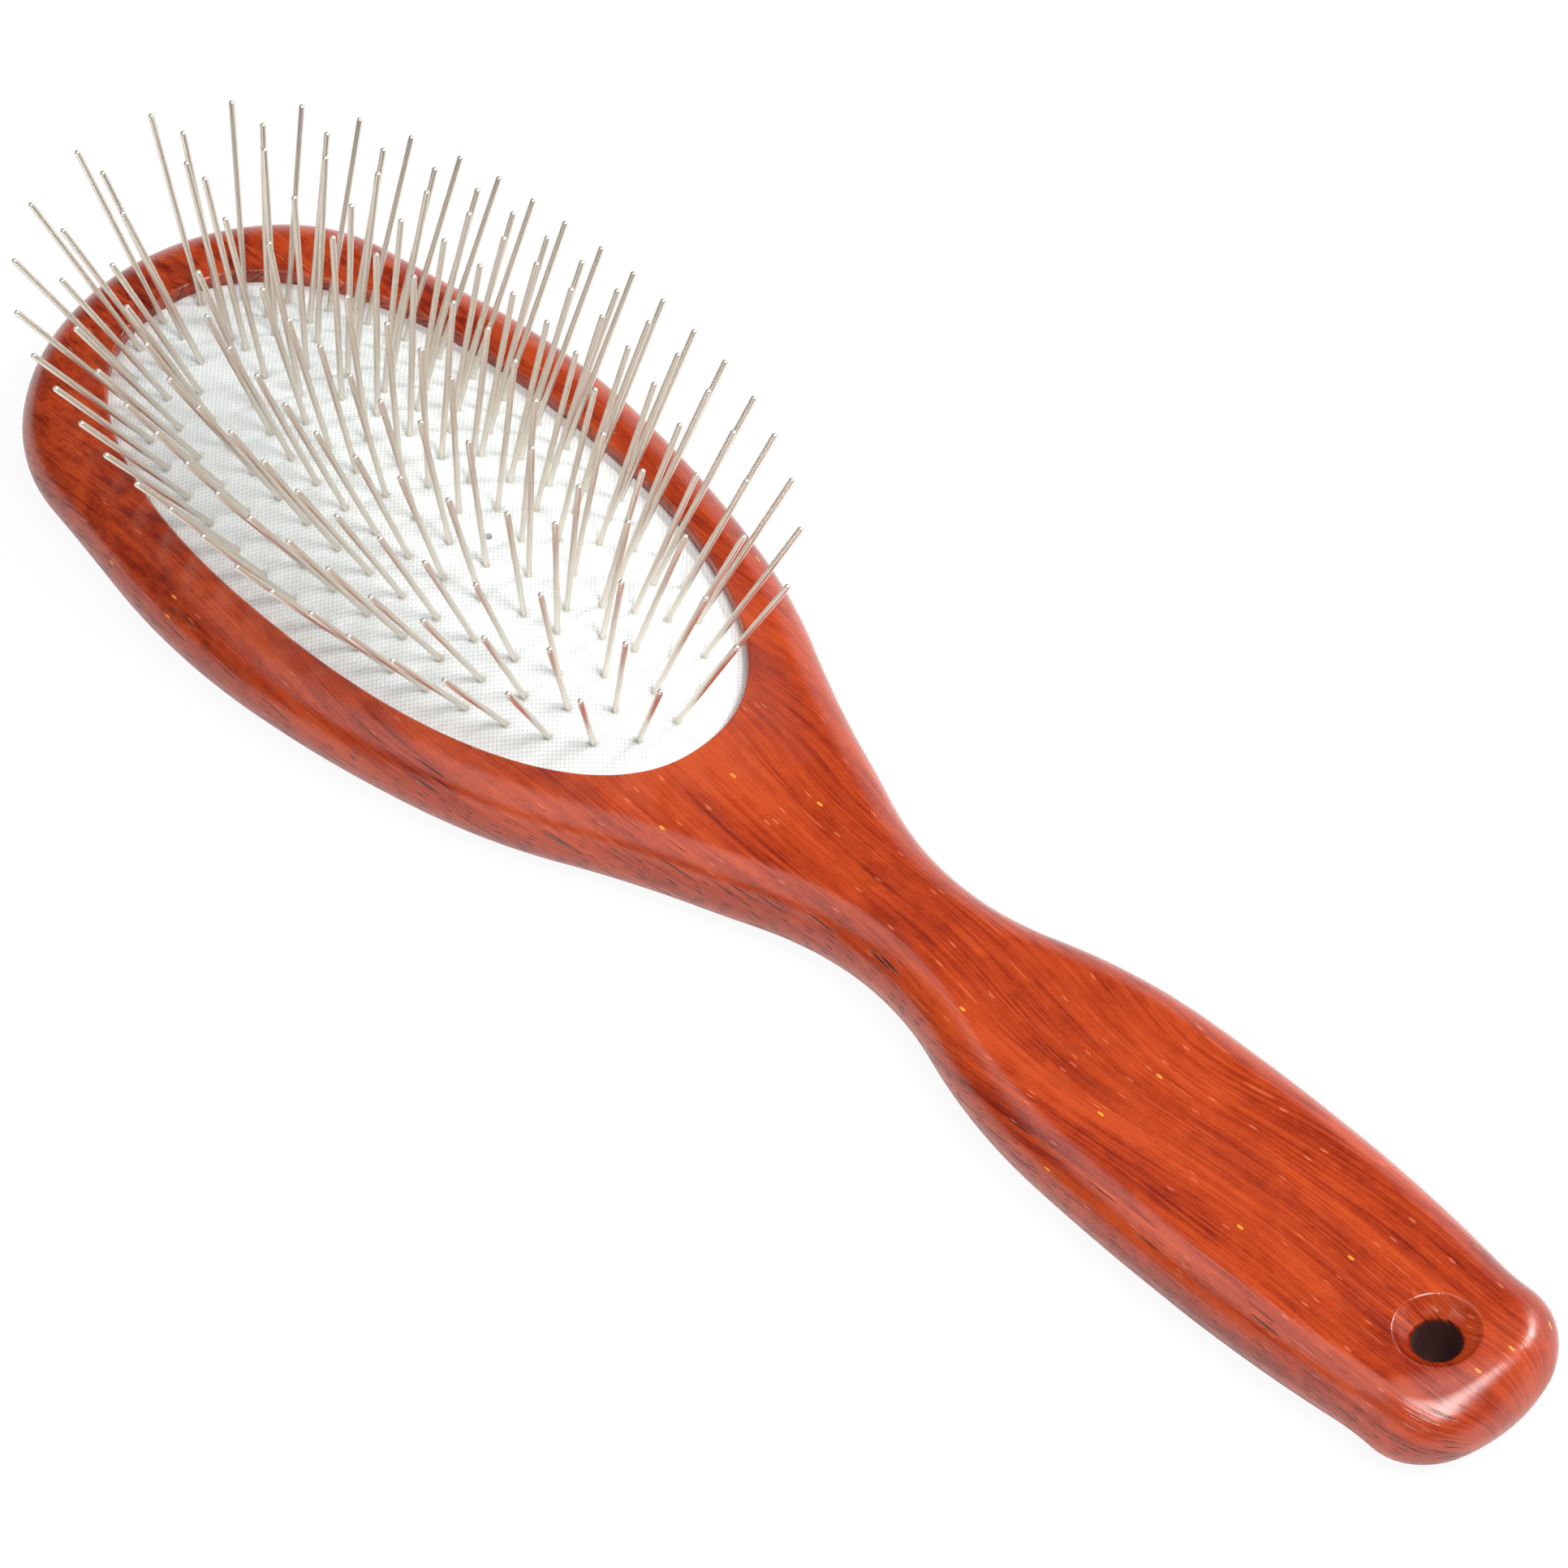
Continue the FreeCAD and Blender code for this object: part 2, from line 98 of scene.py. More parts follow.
# How deep a pin's end face reaches, and to how many digits of a metre places are told apart
END_FACE = 0.1 * MM
OUTLINE_DIGITS = 7
PIN_DIGITS = 6
# How many times its reach a dimple is followed out from its pin
DIMPLE_END = 3

# The camera, from the photo: picture width, focal length and where the axis meets it, in pixels
PICTURE = 1932
LENS_PIXELS = 12103.6
AXIS_PIXEL = 996.77
# Where the camera aims, in millimetres to its right and up from the opening's centre
AIM_RIGHT = 46.453
AIM_UP = -32.149
SENSOR = 36.0
FAR_CLIP = 20.0
FLOOR_SIDE = 6.0
# Soft boxes: name, place, aim, width, height, and how bright a mirror shows them
LAMPS = (
    ("overhead_box", (-0.09, -0.34, 0.8), (-0.09, -0.34, 0.0), 0.7, 1.2, 1.4),
    ("end_box", (0.5, 0.0, 0.74), (0.17, 0.0, 0.0), 0.28, 0.28, 23.5),
    ("back_box", (0.25, 0.66, 0.62), (0.0, 0.0, 0.0), 0.15, 0.15, 50.0),
    ("front_box", (0.25, -0.85, 0.22), (0.05, 0.0, 0.0), 0.8, 0.3, 1.6),
)
# The world's light, overhead and low down behind the brush, and the leans between which it rises
WORLD_DIM = 0.12
WORLD_BRIGHT = 1.1
WORLD_RISE = (-0.2, 0.45)
# How white the floor looks to the camera, and in the gloss of the lacquer and the pins
FLOOR_SEEN = 0.93
FLOOR_MIRRORED = 0.35

# Colours of the marks on the wood, the cloth and the wire, and of painted shade in the hanging hole, in
# the weave's hollows and round the pins' feet
SMUDGE = (0.12, 0.005, 0.001)
SCRATCH = (0.8, 0.24, 0.12)
PALE_LINE = (0.72, 0.16, 0.06)
OPEN_GRAIN = (0.03, 0.002, 0.001)
FLECK = (0.86, 0.33, 0.03)
# Painted shade for the hanging hole's wall
BORE_SHADE = (0.03, 0.001, 0.0)
# Painted shade in the hollows of the weave
WEAVE_HOLLOW_SHADE = (0.62, 0.66, 0.655)
# Painted shade on the cloth round each pin's foot
FOOT_SHADE = (0.3, 0.3, 0.24)
DRAWN_STEEL = (0.56, 0.5, 0.42)
LACQUER_IOR = 1.6
# Along the brush, in millimetres: where the head's blotches fade, and where the handle's end gets dull
BLOTCHES_FADE = (-55.0, 25.0)
DULL_END = (171.0, 176.0)
# Heights in millimetres between which the hanging hole opens to its mouth
BORE_TOP = (7.4, 8.0)
# The handle's end falls away towards its near corner: heading, start and end past the hole, and drop
CORNER_ALONG = 0.87
CORNER_ACROSS = -0.49
CORNER_FALL = (4.5, 11.0)
CORNER_DROP = 1.2
# How far the grain sways across the brush, in millimetres, and how soon it turns down the sides
GRAIN_SWAY = 16
GRAIN_TURN = 0.16


class WoodSizes(bpy.types.PropertyGroup):
    """Sizes and stain of the wooden body."""

    front_rounding: FloatProperty(
        name="Front rounding",
        description="Radius along the top edge",
        default=4.7 * MM,
        unit="LENGTH",
    )
    back_rounding: FloatProperty(
        name="Back rounding",
        description="Radius along the back edge",
        default=4.9 * MM,
        unit="LENGTH",
    )
    opening_length: FloatProperty(
        name="Opening length",
        description="Opening for the cushion, along the brush",
        default=98.0 * MM,
        unit="LENGTH",
    )
    opening_width: FloatProperty(
        name="Opening width",
        description="Opening for the cushion, across the brush",
        default=48.2 * MM,
        unit="LENGTH",
    )
    recess_depth: FloatProperty(
        name="Recess depth",
        description="Top face to the floor under the cushion",
        default=6.2 * MM,
        unit="LENGTH",
    )
    groove_reach: FloatProperty(
        name="Groove reach",
        description="Undercut that holds the cushion's rim, beyond the opening's wall",
        default=1.7 * MM,
        unit="LENGTH",
    )
    opening_edge: FloatProperty(
        name="Opening edge",
        description="Rounding of the opening's rim",
        default=0.5 * MM,
        unit="LENGTH",
    )
    hanging_along: FloatProperty(
        name="Hanging hole",
        description="Opening's centre to the hanging hole",
        default=169.4 * MM,
        unit="LENGTH",
    )
    hanging_bore: FloatProperty(
        name="Hanging bore",
        description="Diameter of the hanging hole",
        default=6.0 * MM,
        unit="LENGTH",
    )
    hanging_taper: FloatProperty(
        name="Hanging taper",
        description="How much narrower that hole is at the back face",
        default=1.0 * MM,
        unit="LENGTH",
    )
    light_stain: FloatVectorProperty(
        name="Light stain",
        description="Brightest colour of the stained wood",
        default=(0.47, 0.056, 0.008),
        subtype="COLOR",
    )
    mid_stain: FloatVectorProperty(
        name="Stain",
        description="Main colour of the stained wood",
        default=(0.34, 0.031, 0.003),
        subtype="COLOR",
    )
    dark_stain: FloatVectorProperty(
        name="Dark stain",
        description="Colour of the darker patches and streaks",
        default=(0.17, 0.008, 0.0008),
        subtype="COLOR",
    )


class CushionSizes(bpy.types.PropertyGroup):
    """Sizes and cloth of the cushion."""

    rim_drop: FloatProperty(
        name="Rim drop",
        description="Top face of the wood down to the cushion's rim",
        default=2.0 * MM,
        unit="LENGTH",
    )
    dome_rise: FloatProperty(
        name="Dome rise",
        description="Rim to the top of the dome",
        default=9.0 * MM,
        unit="LENGTH",
    )
    dome_power: FloatProperty(
        name="Dome power",
        description="How round the dome is: higher is more peaked",
        default=1.29,
    )
    thickness: FloatProperty(
        name="Thickness",
        description="Cloth-faced rubber sheet",
        default=1.8 * MM,
        unit="LENGTH",
    )
    lip_reach: FloatProperty(
        name="Lip reach",
        description="Rim held in the undercut, beyond the opening's wall",
        default=1.4 * MM,
        unit="LENGTH",
    )
    clearance: FloatProperty(
        name="Clearance",
        description="Gap over the rim in its undercut",
        default=0.1 * MM,
        unit="LENGTH",
    )
    dimple_depth: FloatProperty(
        name="Dimple depth",
        description="How far the cloth sinks where a pin leaves it",
        default=0.25 * MM,
        unit="LENGTH",
    )
    dimple_reach: FloatProperty(
        name="Dimple reach",
        description="How far from the pin that dimple fades",
        default=0.8 * MM,
        unit="LENGTH",
    )
    # The cloth gets painted shade round each pin's foot, out to these distances
    shade_start: FloatProperty(
        name="Shade start",
        description="Full shade at a pin's foot, out from its middle",
        default=0.35 * MM,
        unit="LENGTH",
    )
    shade_width: FloatProperty(
        name="Shade width",
        description="How far that shade fades out",
        default=0.4 * MM,
        unit="LENGTH",
    )
    vent_along: FloatProperty(
        name="Air hole",
        description="Opening's centre to the air hole",
        default=11.6 * MM,
        unit="LENGTH",
    )
    vent_bore: FloatProperty(
        name="Air hole diameter",
        description="Diameter of the air hole",
        default=1.0 * MM,
        unit="LENGTH",
    )
    thread_pitch: FloatProperty(
        name="Thread pitch",
        description="Spacing of the weave's dots",
        default=0.72 * MM,
        unit="LENGTH",
    )
    cloth: FloatVectorProperty(
        name="Cloth",
        description="Colour of the woven face",
        default=(0.8, 0.825, 0.815),
        subtype="COLOR",
    )


class PinSizes(bpy.types.PropertyGroup):
    """Sizes and steel of the pins."""

    wire_diameter: FloatProperty(
        name="Wire diameter",
        description="Diameter of the pin wire",
        default=0.78 * MM,
        unit="LENGTH",
    )
    tip_rounding: FloatProperty(
        name="Tip rounding",
        description="Radius round the end of a pin",
        default=0.36 * MM,
        unit="LENGTH",
    )
    head_diameter: FloatProperty(
        name="Head diameter",
        description="Upset head under the rubber",
        default=1.9 * MM,
        unit="LENGTH",
    )
    head_length: FloatProperty(
        name="Head length",
        description="Height of that head",
        default=0.9 * MM,
        unit="LENGTH",
    )
    head_clearance: FloatProperty(
        name="Head clearance",
        description="Top of that head to the rubber",
        default=0.2 * MM,
        unit="LENGTH",
    )
    sides: IntProperty(
        name="Sides",
        description="Flat sides round one pin",
        default=10,
    )
    steel: FloatVectorProperty(
        name="Steel",
        description="Colour of the polished wire",
        default=(0.8, 0.745, 0.665),
        subtype="COLOR",
    )


class StageSettings(bpy.types.PropertyGroup):
    """The floor's colour and the camera's place."""

    floor_colour: FloatVectorProperty(
        name="Floor",
        description="Colour of the floor",
        default=(0.9, 0.9, 0.9),
        subtype="COLOR",
    )
    azimuth: FloatProperty(
        name="Azimuth",
        description="Camera's direction round the brush",
        default=math.radians(46.908),
        subtype="ANGLE",
    )
    elevation: FloatProperty(
        name="Elevation",
        description="Camera's height angle over the brush",
        default=math.radians(51.009),
        subtype="ANGLE",
    )
    roll: FloatProperty(
        name="Roll",
        description="Camera's turn about its own axis",
        default=math.radians(-1.101),
        subtype="ANGLE",
    )
    distance: FloatProperty(
        name="Distance",
        description="Camera to the brush",
        default=1188.84 * MM,
        unit="LENGTH",
    )


# Steps used by several pieces


def deselect_all():
    bpy.ops.object.select_all(action="DESELECT")


def make_active(piece):
    """Select one piece alone."""
    deselect_all()
    piece.select_set(True)
    bpy.context.view_layer.objects.active = piece


def select_where(piece, kind, test):
    """In edit mode, select only the parts whose every corner passes the test."""
    bpy.ops.mesh.select_mode(type=kind)
    bpy.ops.mesh.select_all(action="DESELECT")
    mesh = bmesh.from_edit_mesh(piece.data)
    parts = {"EDGE": mesh.edges, "FACE": mesh.faces}[kind]
    for part in parts:
        if all(test(corner.co) for corner in part.verts):
            part.select_set(True)
    mesh.select_flush_mode()
    bmesh.update_edit_mesh(piece.data)


def apply_modifier(piece, kind, **settings):
    """Add a modifier with its settings and make its result the mesh."""
    modifier = piece.modifiers.new(kind.title(), kind)
    for name, value in settings.items():
        setattr(modifier, name, value)
    make_active(piece)
    bpy.ops.object.modifier_apply(modifier=modifier.name)


def cut_away(piece, tool):
    """Cut the tool's form out of the piece and remove the tool."""
    apply_modifier(piece, "BOOLEAN", operation="DIFFERENCE", solver="EXACT", object=tool)
    bpy.data.objects.remove(tool)


def raise_stack(name, outline, levels):
    """A closed form over an outline: each level has a scale along, a scale across and a height."""
    deselect_all()
    bpy.ops.mesh.primitive_circle_add(vertices=len(outline), radius=1, fill_type="NGON")
    piece = bpy.context.object
    piece.name = name
    along, across, height = levels[0]
    for vertex, (x, y) in zip(piece.data.vertices, outline):
        vertex.co = (x * along, y * across, height)
    bpy.ops.object.mode_set(mode="EDIT")
    bpy.ops.mesh.select_all(action="SELECT")
    for before, after in zip(levels, levels[1:]):
        lift = after[2] - before[2]
        bpy.ops.mesh.extrude_region_move(TRANSFORM_OT_translate={"value": (0, 0, lift)})
        bpy.ops.transform.resize(
            value=(after[0] / before[0], after[1] / before[1], 1),
            center_override=(0, 0, 0),
        )
    bpy.ops.mesh.select_all(action="SELECT")
    bpy.ops.mesh.normals_make_consistent(inside=False)
    bpy.ops.object.mode_set(mode="OBJECT")
    return piece


def bevel_edges(piece, test, radius, segments):
    """Round the edges whose corners pass the test."""
    make_active(piece)
    bpy.ops.object.mode_set(mode="EDIT")
    select_where(piece, "EDGE", test)
    bpy.ops.mesh.bevel(
        offset_type="OFFSET",
        offset=radius,
        segments=segments,
        profile=0.5,
        affect="EDGES",
        clamp_overlap=False,
    )
    bpy.ops.object.mode_set(mode="OBJECT")


def shade_smooth(piece, angle):
    """Shade the piece smooth, apart from edges sharper than the angle."""
    make_active(piece)
    bpy.ops.object.shade_smooth_by_angle(angle=angle)


def finish_piece(piece, material, slot, *nodes):
    """Give the piece its material, and let it stand for its CAD nodes."""
    piece.data.materials.clear()
    piece.data.materials.append(material)
    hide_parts(*nodes)
    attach(piece, "root")


# Outlines


def signed_power(value, power):
    """A power of the value's size, with its sign kept."""
    return math.copysign(abs(value) ** power, value)


def oval_at(angle):
    """A point of the opening's oval, for half sizes of one."""
    along = math.cos(angle)
    across = math.sin(angle)
    return (
        signed_power(along, 2 / OPENING_SQUARENESS),
        signed_power(across, 2 / OPENING_SQUARENESS) * (1 + OPENING_TAPER * along),
    )


def circle_turns(count):
    """Angles evenly round a full turn."""
    return [2 * math.pi * i / count for i in range(count)]


def loop_bends(corners, following, spans):
    """How strongly a smooth closed curve through the corners bends at each of them."""
    total = len(corners)
    earlier = numpy.roll(spans, 1)
    slopes = (following - corners) / spans[:, None]
    matrix = numpy.zeros((total, total))
    for i in range(total):
        matrix[i, i] = 2 * (earlier[i] + spans[i])
        matrix[i, i - 1] = earlier[i]
        matrix[i, (i + 1) % total] = spans[i]
    return numpy.linalg.solve(matrix, 6 * (slopes - numpy.roll(slopes, 1, axis=0)))


def space_evenly(curve, count):
    """So many points at equal steps along a closed curve of close points."""
    closed = numpy.vstack((curve, curve[:1]))
    steps = numpy.linalg.norm(numpy.diff(closed, axis=0), axis=1)
    lengths = numpy.concatenate(([0.0], numpy.cumsum(steps)))
    wanted = numpy.linspace(0, lengths[-1], count, endpoint=False)
    x = numpy.interp(wanted, lengths, closed[:, 0])
    y = numpy.interp(wanted, lengths, closed[:, 1])
    return list(zip(x.tolist(), y.tolist()))


def smooth_loop(corners, count):
    """Points evenly along a closed smooth curve through the corners."""
    corners = numpy.array(corners)
    following = numpy.roll(corners, -1, axis=0)
    spans = numpy.linalg.norm(following - corners, axis=1)
    bends = loop_bends(corners, following, spans)
    next_bends = numpy.roll(bends, -1, axis=0)
    curve = []
    for start, end, span, bend, next_bend in zip(corners, following, spans, bends, next_bends):
        for step in range(STEPS_BETWEEN_CORNERS):
            far = step / STEPS_BETWEEN_CORNERS
            near = 1 - far
            bow = (near ** 3 - near) * bend + (far ** 3 - far) * next_bend
            curve.append(start * near + end * far + bow * span ** 2 / 6)
    return space_evenly(numpy.array(curve), count)


def body_outline():
    """The source's outline where its side stands upright, smoothed between its corners."""
    corners = [vertex.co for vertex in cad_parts["wooden_body"].data.vertices]
    level = min(corner.z for corner in corners if corner.x > WOOD_HIGH.x - TINY)
    far_half = set()
    for x, y, z in corners:
        if abs(z - level) < TINY and y > TINY:
            far_half.add((round(x, OUTLINE_DIGITS), round(y, OUTLINE_DIGITS)))
    far_half = sorted(far_half, reverse=True)
    near_half = [(x, -y) for x, y in reversed(far_half)]
    loop = [(WOOD_HIGH.x, 0.0)] + far_half + [(WOOD_LOW.x, 0.0)] + near_half
    return smooth_loop(loop, OUTLINE_POINTS)


# Materials


class Amount:
    """A number that changes over a surface. Sums on it add Math nodes."""

    def __init__(self, recipe, socket):
        self.recipe = recipe
        self.socket = socket

    def work(self, operation, *values):
        """One Math node on this number and the values."""
        inputs = dict(enumerate((self, *values)))
        node = self.recipe.node("ShaderNodeMath", {"operation": operation}, inputs)
        return Amount(self.recipe, node.outputs[0])

    def __add__(self, other):
        return self.work("ADD", other)

    __radd__ = __add__

    def __sub__(self, other):
        return self.work("SUBTRACT", other)

    def __rsub__(self, other):
        return self.work("MULTIPLY", -1.0).work("ADD", other)

    def __mul__(self, other):
        return self.work("MULTIPLY", other)

    __rmul__ = __mul__

    def above(self, level):
        return self.work("GREATER_THAN", level)

    def cosine(self):
        return self.work("COSINE")

    def squared(self):
        return self.work("MULTIPLY", self)

    def root(self):
        return self.work("SQRT")

    def held(self, low, high):
        return self.work("MAXIMUM", low).work("MINIMUM", high)

    def step(self, low, high):
        """0 up to low and 1 from high on, with a soft rise between them."""
        node = self.recipe.node(
            "ShaderNodeMapRange",
            {"interpolation_type": "SMOOTHSTEP", "clamp": True},
            {"Value": self, "From Min": low, "From Max": high, "To Min": 0.0, "To Max": 1.0},
        )
        return Amount(self.recipe, node.outputs[0])


class Recipe:
    """The nodes of one material, or of the world."""

    def __init__(self, owner):
        self.owner = owner
        owner.use_nodes = True
        self.tree = owner.node_tree
        self.tree.nodes.clear()

    def node(self, kind, settings, inputs):
        """A node with its settings first, then the values or links of its sockets."""
        made = self.tree.nodes.new(kind)
        for name, value in settings.items():
            if name == "stops":
                ramp = made.color_ramp
                while len(ramp.elements) < len(value):
                    ramp.elements.new(0.5)
                for element, (position, colour) in zip(ramp.elements, value):
                    element.position = position
                    element.color = (*colour, 1)
            else:
                setattr(made, name, value)
        for name, value in inputs.items():
            self.feed(made.inputs[name], value)
        return made

    def feed(self, socket, value):
        """Link a socket, or set its value."""
        if isinstance(value, Amount):
            value = value.socket
        if isinstance(value, bpy.types.NodeSocket):
            self.tree.links.new(value, socket)
        elif socket.type == "RGBA":
            socket.default_value = (*value, 1)
        else:
            socket.default_value = value

    def output(self, kind, name):
        """What a node without inputs gives, as an amount."""
        return Amount(self, self.node(kind, {}, {}).outputs[name])

    def place(self):
        """Object coordinates in millimetres."""
        coordinates = self.node("ShaderNodeTexCoord", {}, {})
        return self.vector("SCALE", coordinates.outputs["Object"], {"Scale": 1 / MM})

    def vector(self, operation, first, more):
        """One Vector Math node on the first vector and more inputs."""
        inputs = {0: first}
        inputs.update(more)
        return self.node("ShaderNodeVectorMath", {"operation": operation}, inputs).outputs[0]

    def parts(self, vector):
        """The three numbers of a vector."""
        split = self.node("ShaderNodeSeparateXYZ", {}, {0: vector})
        return [Amount(self, socket) for socket in split.outputs]

    def on_flat(self, along, across):
        """A place on a flat drawing of the surface."""
        return self.node("ShaderNodeCombineXYZ", {}, {"X": along, "Y": across}).outputs[0]

    def noise(self, place, per_mm, detail=2.0, roughness=0.5):
        """Cloudy values round a half, with so many features in a millimetre along each axis."""
        stretched = self.vector("MULTIPLY", place, {1: per_mm})
        node = self.node(
            "ShaderNodeTexNoise",
            {"noise_dimensions": "3D"},
            {"Vector": stretched, "Scale": 1.0, "Detail": detail, "Roughness": roughness},
        )
        return Amount(self, node.outputs["Fac"])

    def dashes(self, place, per_mm, inner, outer, share):
        """Short marks, one in some cells: 1 inside inner, 0 beyond outer, in so many cells a share."""
        stretched = self.vector("MULTIPLY", place, {1: per_mm})
        node = self.node(
            "ShaderNodeTexVoronoi",
            {"feature": "F1", "voronoi_dimensions": "2D"},
            {"Vector": stretched, "Scale": 1.0, "Randomness": 1.0},
        )
        chance = self.parts(node.outputs["Color"])[0]
        mark = 1 - Amount(self, node.outputs["Distance"]).step(inner, outer)
        return mark * chance.above(1 - share)

    def ramp(self, factor, *stops):
        """A colour from stops, each a position and a colour."""
        return self.node("ShaderNodeValToRGB", {"stops": stops}, {0: factor}).outputs[0]

    def blend(self, factor, first, second):
        """The first colour at 0, the second at 1."""
        node = self.node(
            "ShaderNodeMix",
            {"data_type": "RGBA", "clamp_factor": True},
            {0: factor, 6: first, 7: second},
        )
        return node.outputs[2]

    def bump(self, height, distance, strength=1.0, normal=None):
        """A normal from a height, over another normal where one is given."""
        inputs = {"Height": height, "Distance": distance, "Strength": strength}
        if normal is not None:
            inputs["Normal"] = normal
        return self.node("ShaderNodeBump", {}, inputs).outputs[0]

    def surface(self, inputs):
        """Close the recipe with one shader and return the material."""
        shader = self.node("ShaderNodeBsdfPrincipled", {}, inputs)
        self.node("ShaderNodeOutputMaterial", {}, {"Surface": shader.outputs[0]})
        return self.owner


def wood_places(recipe, place):
    """Where a mark lies, drawn out flat over the rounded sides: straight, and swaying with the grain."""
    along, across, height = recipe.parts(place)
    below_top = WOOD_HIGH.z / MM - height
    girth = across + below_top * (across * GRAIN_TURN).held(-1.0, 1.0)
    sway = recipe.noise(place, per_mm=(0.014, 0.04, 0.04), detail=1.0) - 0.5
    return recipe.on_flat(along, girth), recipe.on_flat(along, girth + sway * GRAIN_SWAY)


def stain_colour(recipe, place, grain, threads, head_end, sizes):
    """Light and dark stain in clouds, streaks and threads, with more blotches at the head's end."""
    clouds = recipe.noise(grain, per_mm=(0.028, 0.12, 1.0), detail=3.0, roughness=0.55) - 0.5
    streaks = recipe.noise(grain, per_mm=(0.02, 0.7, 1.0), detail=5.0, roughness=0.7) - 0.5
    mottle = recipe.noise(place, per_mm=(0.3, 0.5, 0.5), detail=5.0, roughness=0.75) - 0.5
    tone = 0.55 + clouds * 1.6 + streaks * 1.3 + threads * 1.1 + mottle * (0.9 + head_end * 1.6)
    return recipe.ramp(tone, (0.1, sizes.dark_stain), (0.5, sizes.mid_stain), (0.9, sizes.light_stain))


def open_grain(recipe, flat, grain):
    """Cracks and pores of the wood, most of them where its near side rounds over."""
    facing = recipe.node("ShaderNodeTexCoord", {}, {}).outputs["Normal"]
    _, sideways, upward = recipe.parts(facing)
    rounded = 1 - upward.step(0.85, 0.999)
    near_side = 1 - sideways.step(-0.25, 0.1)
    side = 1 - upward.step(0.2, 0.7)
    amount = 0.1 + rounded * (0.2 + near_side * 0.7)
    patches = recipe.noise(flat, per_mm=(0.035, 0.1, 1.0), detail=1.0).step(0.4, 0.58)
    cracks = recipe.dashes(grain, per_mm=(0.05, 0.85, 1.0), inner=0.07, outer=0.14, share=0.75)
    pores = recipe.dashes(grain, per_mm=(0.3, 1.5, 1.0), inner=0.1, outer=0.22, share=0.5)
    return cracks * amount * (0.2 + patches * 0.8), pores * amount * (0.3 + side * 0.7)


def mark_wood(recipe, stain, flat, grain, cracks, pores, head_end):
    """Smudges, scratches, pale lines, cracks, pores and bright flecks over the stain."""
    smudges = recipe.noise(flat, per_mm=(0.28, 0.6, 1.0), detail=4.0, roughness=0.7).step(0.58, 0.72)
    scratches = recipe.dashes(grain, per_mm=(0.14, 0.8, 1.0), inner=0.05, outer=0.11, share=0.22)
    lines = recipe.dashes(grain, per_mm=(0.03, 0.55, 1.0), inner=0.04, outer=0.08, share=0.3)
    flecks = recipe.dashes(flat, per_mm=(0.09, 0.24, 1.0), inner=0.03, outer=0.05, share=0.12)
    marks = (
        (smudges * (0.25 + head_end * 0.35), SMUDGE),
        (scratches * 0.36, SCRATCH),
        (lines * 0.35, PALE_LINE),
        (cracks, OPEN_GRAIN),
        (pores * 0.9, OPEN_GRAIN),
        (flecks * 0.95, FLECK),
    )
    colour = stain
    for share, mark in marks:
        colour = recipe.blend(share, colour, mark)
    return colour


def inside_bore(past_hole, across, height, sizes):
    """1 on the hanging hole's wall under its mouth, and 0 elsewhere: there the wood gets painted shade
    and rougher lacquer.
    """
    out = (past_hole.squared() + across.squared()).root()
    bore = sizes.hanging_bore / 2 / MM
    return (1 - out.step(bore + 0.05, bore + 0.2)) * (1 - height.step(*BORE_TOP))


def crowned_end(recipe, past_hole, across):
    """The normal of a handle's end that falls away towards its near corner."""
    towards_corner = past_hole * CORNER_ALONG + across * CORNER_ACROSS
    return recipe.bump(towards_corner.step(*CORNER_FALL) * -CORNER_DROP, MM)


def stained_wood(sizes):
    """Red-brown stained wood under lacquer: the grain runs along the brush, and painted shade darkens the
    hanging hole's wall.
    """
    recipe = Recipe(bpy.data.materials.new("stained_wood"))
    place = recipe.place()
    along, across, height = recipe.parts(place)
    past_hole = along - sizes.hanging_along / MM
    flat, grain = wood_places(recipe, place)
    head_end = 1 - along.step(*BLOTCHES_FADE)
    dull = along.step(*DULL_END)
    inside = inside_bore(past_hole, across, height, sizes)

    threads = recipe.noise(grain, per_mm=(0.07, 3.6, 1.0), detail=2.0, roughness=0.6) - 0.5
    cracks, pores = open_grain(recipe, flat, grain)
    stain = stain_colour(recipe, place, grain, threads, head_end, sizes)
    colour = mark_wood(recipe, stain, flat, grain, cracks, pores, head_end)

    peel = recipe.noise(place, per_mm=(0.9, 1.4, 1.4), detail=1.0)
    relief = peel * 0.12 + threads * 0.3 - cracks - pores * 0.8
    crowned = crowned_end(recipe, past_hole, across)
    return recipe.surface(
        {
            # painted shade: the hanging hole's wall is darkened almost to black
            "Base Color": recipe.blend(inside * 0.94, colour, BORE_SHADE),
            "Roughness": 0.2 + threads * 0.12 + dull * 0.1 + inside * 0.8,
            "IOR": LACQUER_IOR,
            "Normal": recipe.bump(relief, 0.09 * MM, strength=0.8, normal=crowned),
        }
    )


def woven_cloth(sizes):
    """White cloth with a fine staggered weave, with painted shade in the weave's hollows and round each
    pin's foot.
    """
    recipe = Recipe(bpy.data.materials.new("woven_cloth"))
    place = recipe.place()
    along, across, _ = recipe.parts(place)
    turns = 2 * math.pi * MM / sizes.thread_pitch
    lattice = (along * turns).cosine() * (across * turns).cosine()
    fuzz = recipe.noise(place, per_mm=(2.6, 2.6, 2.6))
    weave = lattice * 0.5 + fuzz * 0.5
    shade = recipe.node(
        "ShaderNodeAttribute", {"attribute_name": "pin_shade", "attribute_type": "GEOMETRY"}, {}
    )
    pin_foot_shade = Amount(recipe, shade.outputs["Fac"])
    # painted shade: the weave's hollows are greyed
    colour = recipe.blend(1 - weave.step(-0.25, 0.35), sizes.cloth, WEAVE_HOLLOW_SHADE)
    return recipe.surface(
        {
            # painted shade greys the cloth round each pin's foot
            "Base Color": recipe.blend(pin_foot_shade * 0.5, colour, FOOT_SHADE),
            "Roughness": 0.85,
            "Sheen Weight": 0.1,
            "Normal": recipe.bump(weave, 0.06 * MM, strength=0.7),
        }
    )


